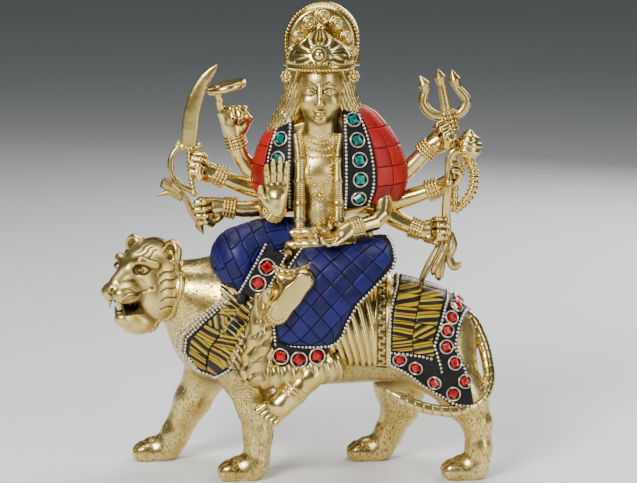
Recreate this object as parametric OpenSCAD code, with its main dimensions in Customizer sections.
// Eight-armed goddess riding a tiger: a brass casting in pieces, with stone inlay.
// Everything is drawn round the tiger's middle plane, y = 0, and placed by set_down().

/* [Tiger] */
// Width of the pocket in the belly, which the nut is reached through
pocket_w = 18; // [14:1:20]
// Length of that pocket
pocket_l = 62; // [40:1:70]
// Thickness of metal left between the pocket and the saddle
seat_t = 16; // [12:1:20]
// Thickness of the saddle cloth
saddle_t = 2; // [1.6:0.1:2.4]
// Thickness of the tail
tail_d = 6; // [5:0.5:7]

/* [Rider] */
// Radius of the stud that holds the rider down
stud_r = 3; // [2.5:0.1:3.5]
// Length of that stud
stud_l = 34; // [30:1:38]
// Radius of an upper arm
arm_r = 4.6; // [4:0.1:5.2]
// Radius of a wrist
wrist_r = 3.2; // [2.8:0.1:3.6]

/* [Inlay] */
// Thickness of the black lac bed under the stones
bed_t = 1.6; // [1.2:0.1:2]
// Thickness of a stone chip
chip_t = 0.9; // [0.7:0.1:1.1]
// Radius of a bead in the borders
bead_r = 0.9; // [0.8:0.05:1]
// Radius of a ring bezel, to the middle of its wire
ring_r = 4.1; // [3.8:0.1:4.4]
// Radius of the smaller bezels of the red stones
red_ring_r = 3.6; // [3.2:0.1:3.7]
// Radius of the bezel's wire
wire_r = 0.45; // [0.35:0.05:0.55]

/* [Hidden] */
brass = "#c9a44c";
silver = "#d9d6cc";
steel = "#8d8f92";
black = "#1c1a1a";
red_stone = "#c22020";
blue_stone = "#26308c";
amber_stone = "#c9991f";
turquoise = "#1fa79a";
red_glass = "#b3202a";

// From the tiger's middle plane to the middle of the whole statue's footprint
centre_shift = [-0.15, 7];
rider_x = 12; // middle of the rider, along the tiger
top = [0, 0, 1];
ahead = [1, 0, 0];
beside = [0, 1, 0];

// ---------- curves and skins ----------
function unit(v) = v / norm(v);
function place(s) = [s[0], s[1], s[2]];
function mix(a, b, t) = a + (b - a) * t;
// Catmull-Rom from b to c
function curve(a, b, c, d, t) =
    0.5 * (2 * b + (c - a) * t + (2 * a - 5 * b + 4 * c - d) * t * t + (3 * b - a - 3 * c + d) * t * t * t);
function refine(s, steps) = [
    for (i = [0:len(s) - 2]) for (k = [0:steps - 1])
        curve(s[max(i - 1, 0)], s[i], s[i + 1], s[min(i + 2, len(s) - 1)], k / steps),
    s[len(s) - 1]
];
// Value of a table of [x, value] pairs at x, along straight lines
function level(t, x) = lookup(x, t);

// The skin round rings of equal length, closed by flat ends
module skin(rings) {
    n = len(rings);
    m = len(rings[0]);
    polyhedron(
        points = [for (r = rings) each r],
        faces = [
            [for (k = [m - 1:-1:0]) k],
            for (i = [0:n - 2]) for (k = [0:m - 1])
                let (a = i * m + k, b = i * m + (k + 1) % m) each [[a, b, a + m], [b, b + m, a + m]],
            [for (k = [0:m - 1]) (n - 1) * m + k]
        ],
        convexity = 6);
}

// A limb through stations [x, y, z, half width across, half width along up]
module limb(stations, sides = 12, steps = 2, up = top) {
    q = refine(stations, steps);
    n = len(q);
    skin([
        for (i = [0:n - 1])
            let (c = place(q[i]),
                 t = unit(place(q[min(i + 1, n - 1)]) - place(q[max(i - 1, 0)])),
                 a = unit(cross(t, up)),
                 b = cross(a, t))
            [for (k = [0:sides - 1])
                c + a * q[i][3] * cos(360 * k / sides) + b * q[i][4] * sin(360 * k / sides)]
    ]);
}

// A plate between two grids of the same size, the outer one first
module plate(outer, inner) {
    n = len(outer);
    m = len(outer[0]);
    half = n * m;
    polyhedron(
        points = [for (r = outer) each r, for (r = inner) each r],
        faces = [
            for (i = [0:n - 2]) for (k = [0:m - 2])
                let (a = i * m + k, b = a + 1, c = a + m, d = c + 1)
                each [[a, b, c], [b, d, c], [half + a, half + c, half + b], [half + b, half + c, half + d]],
            for (k = [0:m - 2]) let (a = k, c = (n - 1) * m + k)
                each [[a, half + a, a + 1], [a + 1, half + a, half + a + 1],
                      [c, c + 1, half + c], [c + 1, half + c + 1, half + c]],
            for (i = [0:n - 2]) let (a = i * m, c = a + m - 1)
                each [[a, a + m, half + a], [a + m, half + a + m, half + a],
                      [c, half + c, c + m], [c + m, half + c, half + c + m]]
        ],
        convexity = 6);
}

// A free-form casting is one mesh, whatever it is joined from or cut by
module casting() {
    resize([0, 0, 0]) union() children();
}

module ball(p, r) {
    translate(p) scale(r) sphere(1, $fn = 16);
}

// Turns +Z to n and puts it at p
module stand_on(p, n) {
    axis = cross(top, n);
    turn = acos(max(-1, min(1, n * top)));
    translate(p) rotate(a = turn, v = norm(axis) < 0.001 ? ahead : axis) children();
}

module set_down() {
    translate([centre_shift[0], centre_shift[1], 0]) children();
}

// ---------- inlay on a surface ----------
// The way out of surface w at u, v, and the point h above it there
function outward(w, u, v) =
    let (e = w == "lap" ? 0.01 : 0.5,
         a = surf(w, u + 0.5, v) - surf(w, u - 0.5, v),
         b = surf(w, u, v + e) - surf(w, u, v - e))
    unit(cross(a, b));
function lift(w, u, v, h) = surf(w, u, v) + outward(w, u, v) * h;

module bed(w, us, vs, rise = 0) {
    outer = [for (u = us) [for (v = vs) lift(w, u, v, rise)]];
    inner = [for (u = us) [for (v = vs) lift(w, u, v, rise - bed_t + 0.05)]];
    plate(outer, inner);
}

// A chip between parameters u0 to u1 and v0 to v1, on a bed that stands rise above the surface
module chip(w, u0, u1, v0, v1, rise = 0) {
    outer = [for (u = [u0, u1]) [for (v = [v0, v1]) lift(w, u, v, rise + chip_t)]];
    inner = [for (u = [u0, u1]) [for (v = [v0, v1]) lift(w, u, v, rise + 0.02)]];
    plate(outer, inner);
}
module raised_chip(w, u0, u1, v0, v1) {
    chip(w, u0, u1, v0, v1, bed_t);
}

module bead_row(w, from, to, count, rise = 0) {
    for (i = [0:count - 1]) {
        q = mix(from, to, i / (count - 1));
        translate(lift(w, q[0], q[1], rise + bead_r * 0.6)) sphere(bead_r, $fn = 16);
    }
}

module bezel(w, q, rise = 0, r = ring_r) {
    stand_on(lift(w, q[0], q[1], rise + wire_r * 1.4), outward(w, q[0], q[1]))
        rotate_extrude($fn = 48) translate([r, 0]) circle(wire_r, $fn = 16);
}

// A cut stone: a plain girdle under eight sloping facets
module gem(w, q, rise = 0, r = ring_r - 1.4) {
    stand_on(lift(w, q[0], q[1], rise + 0.02), outward(w, q[0], q[1])) {
        cylinder(r = r, h = 1, $fn = 8);
        translate([0, 0, 1]) cylinder(r1 = r, r2 = r * 0.6, h = 0.9, $fn = 8);
    }
}

// Each inlaid surface w is a function of two parameters. On the tiger they are the place
// along the body and the angle round it from the back line, positive on the far side.
function surf(w, u, v) =
    w == "body" ? body_skin(u, v, 0)
    : w == "saddle" ? body_skin(u, v, saddle_t)
    : w == "cape" ? cape_skin(u, v)
    : w == "knee" ? knee_skin(u, v)
    : lap_skin(u, v);

// ---------- tiger ----------
// Sections of the body: [x, height of the middle], [x, half width], [x, half height]
body_mid = [[-66, 86], [-54, 83], [-40, 84], [-15, 82], [15, 80.5], [45, 78], [65, 75.5],
    [80, 72.5], [96, 70]];
body_wide = [[-66, 4], [-62, 15], [-54, 21], [-40, 25], [65, 25], [80, 23], [90, 16], [96, 6]];
body_tall = [[-66, 6], [-62, 20], [-54, 30], [-40, 35], [-15, 34], [15, 32.5], [45, 29], [65, 28], [80, 26],
             [90, 17], [96, 6]];
seat_x = 13;
function body_skin(x, a, grow) =
    [x, (level(body_wide, x) + grow) * sin(a), level(body_mid, x) + (level(body_tall, x) + grow) * cos(a)];
seat_z = body_skin(seat_x, 0, 0)[2];

module tiger_body() {
    color(brass) difference() {
        skin([for (x = [-66, -62, -54, -47, each [-40:11:70], 75, 80, 85, 90, 96])
              [for (a = [0:15:345]) body_skin(x, a, 0)]]);
        translate([seat_x, 0, seat_z - seat_t - 60]) {
            translate([-(pocket_l - pocket_w) / 2, 0, 0]) cylinder(d = pocket_w, h = 60, $fn = 48);
            translate([(pocket_l - pocket_w) / 2, 0, 0]) cylinder(d = pocket_w, h = 60, $fn = 48);
            translate([-(pocket_l - pocket_w) / 2, -pocket_w / 2, 0]) cube([pocket_l - pocket_w, pocket_w, 60]);
        }
        translate([seat_x, 0, seat_z - seat_t - 1]) cylinder(r = stud_r + 0.1, h = seat_t + 4, $fn = 32);
    }
}

// The head looks forward and a little to the near side
head_at = [-80, -6, 107];
head_turn = 33;
module tiger_head() {
    color(brass) casting() {
        limb([[-47, -2, 92, 17, 19], [-58, -2, 98, 17, 19], [-68, -3, 103, 17, 19], [-78, -5, 106, 14, 15]]);
        translate(head_at) rotate([0, 0, head_turn]) {
            hull() {
                ball([2, 0, 2], [17, 19, 18]);
                ball([-8, 0, -1], [12, 15, 13]);
            }
            hull() {
                ball([-10, 0, 1], [10, 12, 10]);
                ball([-20, 0, -1], [8, 10, 7]);
            }
            hull() {
                ball([-4, 0, -14], [11, 12, 8]);
                ball([-11, 0, -19], [7, 8, 5.5]);
            }
            for (side = [-1, 1]) hull() {
                ball([3, side * 13, 16], [2.5, 5, 5]);
                ball([3, side * 11, 10], [4, 6, 5]);
            }
        }
    }
}

// A leg through stations [x, y, z, half width, half length], with its paw's middle and reach
module leg(stations, paw, reach) {
    color(brass) casting() {
        limb(stations, up = ahead);
        difference() {
            hull() {
                ball([paw[0], paw[1], 6], [8, 8.5, 7]);
                ball([paw[0] - reach, paw[1], 4], [6, 9, 6.5]);
            }
            translate([paw[0] - 60, paw[1] - 60, -120]) cube([120, 120, 120]);
        }
    }
}
module foreleg_near()
    leg([[-36, -14, 78, 11, 15], [-29, -16, 54, 10, 13], [-22, -19, 26, 8, 8], [-21, -20, 8, 7.5, 7.5]],
        [-22, -20], 11);
module foreleg_far()
    leg([[-42, 14, 78, 11, 15], [-48, 16, 54, 10, 13], [-64, 19, 24, 8, 9], [-69, 20, 8, 7.5, 7.5]],
        [-72, 20], 14);
module hindleg_near()
    leg([[72, -12, 74, 12, 19], [84, -15, 52, 10, 16], [96, -17, 30, 8, 8], [95, -18, 8, 7.5, 7]],
        [94, -18], 10);
module hindleg_far()
    leg([[68, 12, 74, 12, 19], [62, 15, 50, 10, 15], [55, 18, 26, 8, 9], [47, 20, 8, 7.5, 7.5]],
        [43, 20], 9);

module tail() {
    r = tail_d / 2;
    color(brass) limb([[88, 0, 85, r + 1, r + 1], [97, -3, 78, r, r], [102, -8, 66, r, r], [102, -14, 54, r, r],
                       [98, -23, 44, r, r], [88, -29, 39, r, r], [74, -30, 40, r, r],
                       [60, -29, 44, r, r], [48, -27, 50, r * 0.8, r * 0.8]],
                      sides = 10, steps = 3, up = [0.1, 1, 0.2]);
}

saddle_from = -40;
saddle_to = 50;
saddle_angle = 128;
module saddle() {
    xs = [saddle_from:10:saddle_to];
    as = [-saddle_angle:16:saddle_angle];
    color(brass) difference() {
        plate([for (x = xs) [for (a = as) body_skin(x, a, saddle_t)]],
              [for (x = xs) [for (a = as) body_skin(x, a, 0)]]);
        translate([seat_x, 0, seat_z - 1]) cylinder(r = stud_r + 0.1, h = 6, $fn = 32);
    }
}

// ---------- fixing ----------
module seat_stud() {
    color(steel) translate([seat_x, 0, seat_z - seat_t - 10]) cylinder(r = stud_r, h = stud_l, $fn = 32);
}
module seat_washer() {
    color(steel) translate([seat_x, 0, seat_z - seat_t - 1.6]) difference() {
        cylinder(r = 7.5, h = 1.6, $fn = 48);
        translate([0, 0, -1]) cylinder(r = stud_r + 0.2, h = 4, $fn = 32);
    }
}
module seat_nut() {
    color(steel) translate([seat_x, 0, seat_z - seat_t - 6.6]) difference() {
        cylinder(r = 5.8, h = 5, $fn = 6);
        translate([0, 0, -1]) cylinder(r = stud_r, h = 7, $fn = 32);
    }
}

// ---------- rump inlay ----------
rump_from = 51;
rump_to = 92;
rump_angle = 124;
rump_stone = [54, 76]; // the stones' own stretch along the body
module rump_bed() {
    color(black) bed("body", [rump_from:5.125:rump_to], [-rump_angle:rump_angle / 8:rump_angle], bed_t);
}
module rump_chips() {
    color(amber_stone) for (a = [-96:12:84])
        for (x = [rump_stone[0], (rump_stone[0] + rump_stone[1]) / 2])
            raised_chip("body", x + 0.3, x + 10.7, a + 0.5, a + 11.5);
}
module rump_beads() {
    color(silver) for (side = [-1, 1]) {
        bead_row("body", [rump_from + 1.2, side * 6], [rump_from + 1.2, side * 112], 24, bed_t);
        bead_row("body", [rump_stone[1] + 1.6, side * 6], [rump_stone[1] + 1.6, side * 94], 20, bed_t);
        bead_row("body", [rump_from + 3.2, side * 101], [rump_stone[1] - 0.6, side * 101], 10, bed_t);
        bead_row("body", [rump_from + 2, side * 121.5], [rump_to - 3, side * 121.5], 17, bed_t);
    }
}
// The rump's jewels run down behind the stones and forward under them
rump_jewels = [for (a = [22:23:114]) [83.5, a], for (x = [56.5, 65.5, 74.5]) [x, 111]];
module rump_bezels() {
    color(silver) for (side = [-1, 1]) for (q = rump_jewels) bezel("body", [q[0], side * q[1]], bed_t, red_ring_r);
}
module rump_gems() {
    color(red_glass) for (side = [-1, 1]) for (q = rump_jewels)
        gem("body", [q[0], side * q[1]], bed_t, red_ring_r - 1.3);
}

// ---------- shoulder inlay ----------
// The teardrop leans back as it rises: its middle and half width at each angle
shoulder_mid = [[40, -33], [60, -38], [80, -44], [100, -48], [118, -48]];
shoulder_half = [[40, 3], [55, 7], [75, 12], [95, 13], [110, 9], [118, 4]];
function shoulder_x(a, k) = level(shoulder_mid, a) + k * level(shoulder_half, a);
module shoulder_bed() {
    color(black) for (side = [-1, 1]) {
        outer = [for (k = [-1:0.5:1]) [for (a = [40:13:118])
                 body_skin(shoulder_x(a, k), side * a, saddle_t + bed_t)]];
        inner = [for (k = [-1:0.5:1]) [for (a = [40:13:118]) body_skin(shoulder_x(a, k), side * a, 0.05)]];
        if (side > 0) plate(outer, inner);
        else plate(inner, outer);
    }
}
module shoulder_chips() {
    h = saddle_t + bed_t;
    color(amber_stone) for (side = [-1, 1]) for (a = [48:11:103]) for (k = [-0.8, 0.02]) {
        corners = [for (x = [k, k + 0.76]) [for (b = [a + 0.5, a + 10.5]) [x, b]]];
        outer = [for (r = corners) [for (q = r) body_skin(shoulder_x(q[1], q[0]), side * q[1], h + chip_t)]];
        inner = [for (r = corners) [for (q = r) body_skin(shoulder_x(q[1], q[0]), side * q[1], h + 0.02)]];
        if (side > 0) plate(outer, inner);
        else plate(inner, outer);
    }
}
module shoulder_beads() {
    color(silver) for (side = [-1, 1]) for (a = [42:4.4:116]) for (k = [-0.93, 0.93])
        translate(body_skin(shoulder_x(a, k), side * a, saddle_t + bed_t + 0.5)) sphere(bead_r, $fn = 16);
}

// ---------- rider ----------
module goddess_body() {
    color(brass) difference() {
        casting() {
            limb([[rider_x, -3, 114, 22, 15], [rider_x, -5, 124, 19, 13], [rider_x + 1, -7, 136, 13, 9],
                  [rider_x + 2, -7, 150, 16, 11], [rider_x + 2, -5, 168, 19, 11], [rider_x + 3, -4, 180, 16, 8],
                  [rider_x + 1, -6, 186, 7, 6], [rider_x, -8, 196, 6.5, 6]], sides = 16, up = beside);
            skin([for (z = cape_rise) [each [for (u = [100:-5:0]) cape_skin(u, z, -bed_t)],
                                       [cape_edge[1] - 3, -9, z], [cape_edge[0] + 3, -9, z]]]);
        }
        translate([seat_x, 0, seat_z - 4]) cylinder(r = stud_r, h = stud_l - seat_t - 6, $fn = 32);
    }
}

face_at = [rider_x, -12, 205];
module goddess_head() {
    color(brass) casting() {
        hull() {
            ball(face_at + [0, 4, 6], [11.5, 12, 12]);
            ball(face_at + [0, -1, -9], [6, 6.5, 5]);
        }
        hull() {
            ball(face_at + [0, -8, 1], [1, 1.5, 1.5]);
            ball(face_at + [0, -10, -3], [1.8, 1.6, 1.4]);
        }
        for (side = [-1, 1]) ball(face_at + [side * 11.3, 2, -2], [1.6, 3, 5]);
    }
}
module goddess_hair() {
    color(brass) casting() difference() {
        union() {
            ball(face_at + [1, 9, 5], [15, 12, 16]);
            for (side = [-1, 1]) limb([
                [face_at[0] + side * 12, -6, 214, 4, 5], [face_at[0] + side * 15, -4, 203, 4, 5],
                [face_at[0] + side * 18, -2, 192, 5, 4], [face_at[0] + side * 22, 0, 183, 3, 3]], up = beside);
        }
        ball(face_at + [0, 0, 0], [12, 12, 19]);
    }
}
module crown() {
    color(brass) translate(face_at + [0, 5, 14]) rotate([4, 0, 0]) {
        rotate_extrude($fn = 64) polygon([[0, 0], [16.4, 0], [16.9, 1], [16.9, 3.4], [16, 4.4],
            for (a = [0:10:80]) [15.6 * cos(a), 5 + 19 * sin(a)], [1.5, 24.4], [1.5, 26], [0, 26.6]]);
        translate([-1, -15.5, 9]) rotate([90, 0, 0]) cylinder(r = 3.6, h = 2, $fn = 32);
    }
}
// The hood stands round the crown like an open shell
module crown_halo() {
    color(brass) casting() translate([rider_x + 1, 4, 218]) difference() {
        ball([0, 0, 14], [20, 13, 21]);
        ball([0, -4, 12], [18, 13, 19.5]);
        translate([-30, -30, -40]) cube([60, 22, 100]);
        translate([-30, -30, -60]) cube([60, 60, 60]);
    }
}

// ---------- cape ----------
// A bell round the shoulders, open in front: part of the way round it, and height
cape_mid = [rider_x + 5, 0];
cape_wide = [[149, 36], [155, 40], [163, 41], [172, 39], [182, 34.5], [190, 28], [196, 21], [199, 14]];
cape_deep = [[149, 19], [155, 21], [163, 22], [172, 21.5], [182, 19.5], [190, 16], [196, 12.5], [199, 9]];
cape_edge = [-2.5, 24]; // where its front edges hang, to her right and to her left
function edge_angle(x, wide) = asin(max(-0.95, min(0.95, (x - cape_mid[0]) / wide)));
function cape_skin(u, z, grow = 0) =
    let (wide = level(cape_wide, z) + grow,
         a = mix(edge_angle(cape_edge[1], wide), 360 + edge_angle(cape_edge[0], wide), u / 100))
    [cape_mid[0] + wide * sin(a), cape_mid[1] - (level(cape_deep, z) + grow) * cos(a), z];
cape_rise = [149, 155, 161, 167, 173, 179, 185, 190, 195, 199];
cape_stone = [8, 92];
module cape_bed() {
    color(black) bed("cape", [0:5:100], cape_rise);
}
module cape_chips() {
    step = (cape_stone[1] - cape_stone[0]) / 18;
    color(red_stone) for (i = [0:17]) for (j = [0:5]) {
        u = cape_stone[0] + i * step;
        z = 150 + j * 7.8;
        chip("cape", u + 0.12, u + step - 0.12, z + 0.25, z + 7.55);
    }
}
module cape_beads() {
    color(silver) for (u = [cape_stone[0] - 0.7, cape_stone[1] + 0.7])
        bead_row("cape", [u, 150.5], [u, 192], 20);
}
cape_jewels = [for (z = [153:9:189]) for (u = [3.6, 96.4]) [u, z]];
module cape_bezels() {
    color(silver) for (q = cape_jewels) bezel("cape", q);
}
module cape_gems() {
    color(turquoise) for (q = cape_jewels) gem("cape", q);
}

// ---------- skirt ----------
// Her right knee is a dome: turn about the thigh, and the way out from its middle
knee_mid = [-29, -12, 120];
function knee_skin(a, b) =
    knee_mid + [-17 * cos(b) * cos(a), -19 * cos(b) * sin(a), 16 * sin(b)];
// The lap falls over the saddle's side: place along the tiger, and the way down
lap_path = [[0, -14, 128], [0.25, -27, 121], [0.45, -34, 112], [0.7, -35, 95], [1, -32, 75]];
lap_y = [for (p = lap_path) [p[0], p[1]]];
lap_z = [for (p = lap_path) [p[0], p[2]]];
lap_left = [[0, 12], [0.25, 6], [0.45, -2], [1, -10]];
lap_right = [[0, 48], [0.25, 52], [0.45, 50], [0.7, 36], [1, 16]];
function lap_skin(u, v) =
    [mix(level(lap_right, v), level(lap_left, v), u / 100),
     level(lap_y, v) + 3 * pow(0.6 - u / 100, 2),
     level(lap_z, v)];
lap_turns = [0:12.5:100];
lap_falls = [0, 0.12, 0.25, 0.35, 0.45, 0.58, 0.7, 0.85, 1];
module skirt_casting() {
    color(brass) casting() difference() {
        union() {
            limb([[rider_x + 4, 0, 122, 16, 14], [-10, -6, 123, 14, 13], [-22, -9, 121, 14, 13],
                  [-30, -11, 120, 12, 12]], up = top);
            limb([[rider_x, 0, 122, 16, 14], [28, -6, 122, 15, 13], [40, -9, 120, 14, 13], [48, -11, 117, 9, 10]],
                 up = top);
            ball(knee_mid, [17, 19, 16] - bed_t * [1, 1, 1]);
            plate([for (u = lap_turns) [for (v = lap_falls) lap_skin(u, v) + [0, bed_t, 0]]],
                  [for (u = lap_turns) [for (v = lap_falls) let (p = lap_skin(u, v)) [p[0], -6, p[2]]]]);
        }
        skin([for (x = [-80, 110]) [for (a = [0:15:345])
            body_skin(seat_x, a, saddle_t + 0.05) + [x - seat_x, 0, 0]]]);
    }
}
module skirt_bed() {
    color(black) {
        bed("knee", [-40:20:160], [-40:20:80], bed_t);
        bed("lap", lap_turns, lap_falls, bed_t);
    }
}
module skirt_chips() {
    color(blue_stone) {
        for (a = [-30:30:120]) for (b = [-30:26:22])
            raised_chip("knee", a + 1, a + 29, b + 1, b + 25);
        for (u = [4:15.5:84]) for (v = [0.04:0.115:0.9])
            raised_chip("lap", u + 0.5, u + 15, v + 0.004, v + 0.11);
    }
}
module skirt_beads() {
    color(silver) {
        bead_row("lap", [2, 0.3], [2, 0.96], 21, bed_t);
        bead_row("lap", [12, 0.98], [96, 0.98], 10, bed_t);
        bead_row("knee", [-36, -38], [150, -38], 21, bed_t);
    }
}
hem_jewels = [[-7, -33.5, 70], [1.6, -34, 69], [10.2, -33.5, 70]];
module skirt_bezels() {
    color(silver) for (p = hem_jewels) translate(p) rotate([90, 0, 0]) rotate_extrude($fn = 48)
        translate([red_ring_r, 0]) circle(wire_r, $fn = 16);
}
module skirt_gems() {
    color(red_glass) for (p = hem_jewels) translate(p) rotate([90, 0, 0])
        cylinder(r = red_ring_r - 1.3, h = 1.6, $fn = 8);
}
module garment_pleats() {
    color(brass) casting() {
        limb([[-12, -31, 114, 6, 4], [-20, -33, 102, 7, 4], [-25, -32, 88, 8, 4], [-24, -31, 72, 10, 4],
              [-20, -30, 57, 10, 3]], up = beside);
        hull() {
            ball([-12, -29, 68], [6, 4, 4]);
            ball([14, -29, 64], [8, 4, 4]);
            ball([-4, -28, 56], [6, 3, 3]);
        }
    }
}
module folded_foot() {
    color(brass) casting() {
        limb([[8, -37, 116, 4, 3], [5, -39, 111, 6.5, 4], [-3, -40, 99, 6, 4], [-9, -40, 90, 6.5, 3.5],
              [-11, -39, 86, 4, 3]], up = beside);
    }
}
module hanging_foot() {
    color(brass) casting() {
        limb([[10, -28, 66, 6, 5], [4, -32, 56, 6, 5], [-3, -34, 50, 6, 4.5], [-11, -35, 43, 6, 3.5],
              [-15, -35, 39, 4, 2.5]], up = beside);
    }
}

// ---------- ornaments ----------
module waist_sash() {
    color(brass) casting() {
        for (k = [0:2]) limb([[-6, -13, 131 - 3 * k, 2.2, 2.2], [2, -19, 133 - 3 * k, 2.4, 2.4],
                              [14, -21, 130 - 3 * k, 2.4, 2.4], [22, -17, 127 - 3 * k, 2, 2]], sides = 8);
        limb([[-6, -16, 128, 2, 2], [-12, -25, 121, 2, 2], [-8, -33, 117, 2.2, 2.2], [2, -35, 117, 2.2, 2.2],
              [9, -31, 122, 2, 2], [12, -24, 127, 2, 2]], sides = 8);
    }
}
// Rows of strung beads, each a sagging curve from shoulder to shoulder
function strand(t, wide, drop, z) =
    [rider_x + 1 + wide * sin(t), -8 - 9 * cos(t) * cos(t), z - drop * cos(t) * cos(t)];
module necklace() {
    color(brass) {
        for (row = [0:3]) for (t = [-84:14:84])
            translate(strand(t, 9 + row, 4 + 2.4 * row, 188 - 2.2 * row)) sphere(0.8, $fn = 14);
        for (t = [-72:12:72])
            translate(strand(t, 8, 24, 176) + [0, -2.4, 0]) sphere(0.75, $fn = 14);
        translate([rider_x + 1, -17, 147]) rotate([90, 0, 0]) cylinder(r = 3.4, h = 2.4, $fn = 32);
    }
}
module garland() {
    color(brass) for (side = [-1, 1]) translate([rider_x + 1 + side * 11, -15, 136]) {
        cylinder(r = 3.1, h = 48, $fn = 24);
        for (z = [4, 14, 26, 37]) translate([0, 0, z]) cylinder(r = 3.8, h = 2.2, $fn = 24);
    }
}

// ---------- arms ----------
// An arm through its joints to the wrist, a bangle, and the palm beyond it
module arm(joints, palm, palm_size) {
    n = len(joints);
    wrist = joints[n - 1];
    lean = unit(wrist - joints[n - 2]);
    color(brass) casting() {
        limb([for (i = [0:n - 1]) let (r = mix(arm_r, wrist_r, i / (n - 1))) [each joints[i], r, r]],
             sides = 10, up = [0.1, 1, 0.1]);
        hull() {
            ball(wrist, wrist_r * [1, 1, 1]);
            ball(palm, palm_size);
        }
        for (k = [0, 2]) stand_on(wrist - lean * (2 + k), lean) cylinder(r = wrist_r + 0.9, h = 1.3, $fn = 20);
    }
}
module discus_arm() {
    arm([[-2, 2, 160], [-16, 3, 158], [-28, 2, 166], [-34, 0, 182]], [-36, -1, 194], [6, 4.5, 6]);
    color(brass) stand_on([-37, -1, 197], [-0.1, 0, 1]) cylinder(r1 = 2.2, r2 = 1.4, h = 12, $fn = 20);
}
module sword_arm() arm([[-2, 3, 154], [-22, 3, 153], [-34, 1, 156], [-43, -1, 160]], [-52, -2, 166], [5, 5, 6.5]);
module arrow_arm() arm([[-2, 1, 146], [-16, -1, 144], [-27, -3, 143], [-38, -4, 144]], [-50, -5, 144], [6, 4.5, 7]);
module blessing_arm() {
    arm([[-6, -6, 172], [-14, -8, 154], [-14, -16, 142], [-10, -25, 146]], [-10, -27, 155], [7.5, 3, 7]);
    color(brass) for (k = [-1.5:1:1.5])
        hull() {
            ball([-10 + 3.4 * k, -27, 158], [1.8, 2, 2]);
            ball([-10 + 3 * k, -27.5, 172 - 1.4 * k * k], [1.5, 1.5, 1.5]);
        }
}
module trident_arm() arm([[34, 3, 158], [50, 3, 157], [60, 2, 164], [70, 0, 175]], [79, -1, 185], [6, 5, 5.5]);
module conch_arm() arm([[32, 3, 152], [46, 3, 146], [60, 1, 148], [74, -1, 153]], [88, -2, 158], [6, 5, 8]);
module bow_arm() arm([[30, 1, 146], [44, 1, 142], [54, -1, 137], [64, -2, 132]], [80, -3, 133], [6, 5, 7]);
module lap_arm() arm([[36, -4, 168], [44, -8, 150], [43, -14, 143], [28, -24, 137]], [18, -29, 130], [8, 4, 5]);

// ---------- what she holds ----------
module discus() {
    color(brass) translate([-37.5, -1, 209]) rotate([0, -15, 0]) rotate_extrude($fn = 64)
        polygon([[0, -2.2], [3, -2.2], [3.4, -1.5], [10.2, -1.1], [10.8, 0], [10.2, 1.1], [3.4, 1.5], [3, 2.2],
                 [0, 2.2]]);
}
module sword() {
    color(brass) casting() {
        limb([[-57, -2, 178, 1.2, 4.2], [-57, -2, 190, 1.2, 4], [-54, -2, 202, 1.1, 3.6],
              [-49, -2, 212, 1, 2.8], [-42, -2, 220, 0.5, 0.6]], sides = 8, up = ahead);
        limb([[-61, -2, 174, 1.4, 1.6], [-57, -2, 177, 2, 2], [-53, -2, 180, 1.4, 1.6]], sides = 8);
        limb([[-57, -2, 176, 1.6, 1.6], [-55, -2, 166, 1.8, 1.8], [-55, -2, 152, 1.6, 1.6]], sides = 8, up = ahead);
        limb([[-60, -2, 175, 1, 1], [-66, -2, 167, 1, 1.2], [-62, -2, 156, 1, 1.2], [-55, -2, 152, 1, 1]],
             sides = 8, up = beside);
    }
}
module arrow() {
    color(brass) casting() {
        limb([[-72, -6, 156, 1.6, 4], [-62, -6, 153, 1.4, 3], [-57, -6, 148, 1.4, 1.4], [-52, -6, 138, 1.4, 1.4],
              [-50, -6, 131, 0.6, 0.6]], sides = 8, up = beside);
    }
}
module trident() {
    color(brass) casting() {
        limb([[84, -2, 142, 1.4, 1.4], [83, -2, 170, 1.4, 1.4], [81, -2, 186, 1.6, 1.6], [78, -2, 197, 1.8, 1.8],
              [76, -2, 206, 1.6, 1.6], [74, -2, 217, 1, 1]], sides = 8, up = ahead);
        for (side = [-1, 1]) limb([
            [78, -2, 197, 1.6, 1.6], [78 + side * 10, -2, 197.5 - side, 1.5, 1.5],
            [78 + side * 11, -2, 205, 1.5, 1.5], [74 + side * 9, -2, 215 - side, 1, 1]], sides = 8, up = beside);
        stand_on([78.6, -2, 193], [-0.2, 0, 1]) cylinder(r = 3, h = 3, $fn = 24);
    }
}
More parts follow.
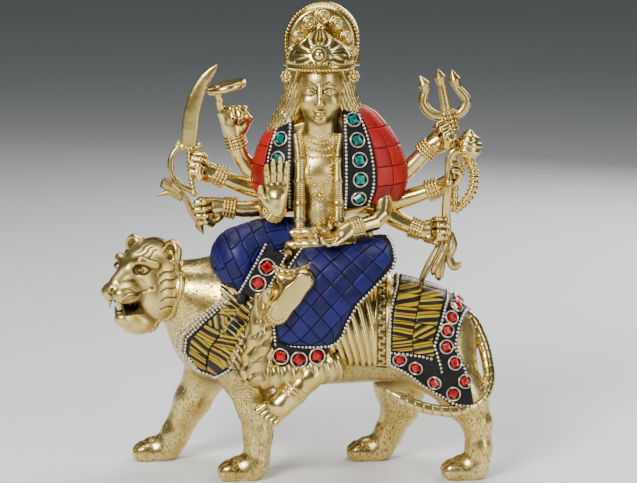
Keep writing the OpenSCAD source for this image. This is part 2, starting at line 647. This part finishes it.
module conch() {
    color(brass) translate([89, -3, 166]) rotate([0, 4, 0]) rotate_extrude($fn = 48)
        polygon([[0, 0], [1.6, 0.4], [3, 3], [5.2, 8], [5.6, 11], [4.4, 14.5], [2.4, 17], [0.8, 19], [0, 19.4]]);
}
module bow() {
    color(brass) limb([[89, -6, 171, 1, 1], [86, -6, 174, 1.2, 1.2], [81, -6, 172, 1.3, 1.3], [79.5, -6, 160, 1.4, 1.4],
                       [79, -6, 142, 1.4, 1.4]], sides = 8, up = beside);
}
module lotus() {
    color(brass) casting() {
        for (k = [0:4]) limb([[82, -4, 127, 2, 2], [80 - 2.6 * k + 4, -4 - (k % 2), 118, 2.6, 2.4],
                              [84 - 3.8 * k, -4, 107 + 2 * abs(k - 3), 2.4, 2]], sides = 8, up = beside);
    }
}

set_down() tiger_body();
set_down() tiger_head();
set_down() foreleg_far();
set_down() foreleg_near();
set_down() hindleg_far();
set_down() hindleg_near();
set_down() tail();
set_down() saddle();
set_down() seat_stud();
set_down() seat_washer();
set_down() seat_nut();
set_down() rump_bed();
set_down() rump_chips();
set_down() rump_beads();
set_down() rump_bezels();
set_down() rump_gems();
set_down() shoulder_bed();
set_down() shoulder_chips();
set_down() shoulder_beads();
set_down() goddess_body();
set_down() goddess_head();
set_down() goddess_hair();
set_down() crown();
set_down() crown_halo();
set_down() cape_bed();
set_down() cape_chips();
set_down() cape_beads();
set_down() cape_bezels();
set_down() cape_gems();
set_down() skirt_casting();
set_down() skirt_bed();
set_down() skirt_chips();
set_down() skirt_beads();
set_down() skirt_bezels();
set_down() skirt_gems();
set_down() garment_pleats();
set_down() folded_foot();
set_down() hanging_foot();
set_down() waist_sash();
set_down() necklace();
set_down() garland();
set_down() discus_arm();
set_down() sword_arm();
set_down() arrow_arm();
set_down() blessing_arm();
set_down() trident_arm();
set_down() conch_arm();
set_down() bow_arm();
set_down() lap_arm();
set_down() discus();
set_down() sword();
set_down() arrow();
set_down() trident();
set_down() conch();
set_down() bow();
set_down() lotus();
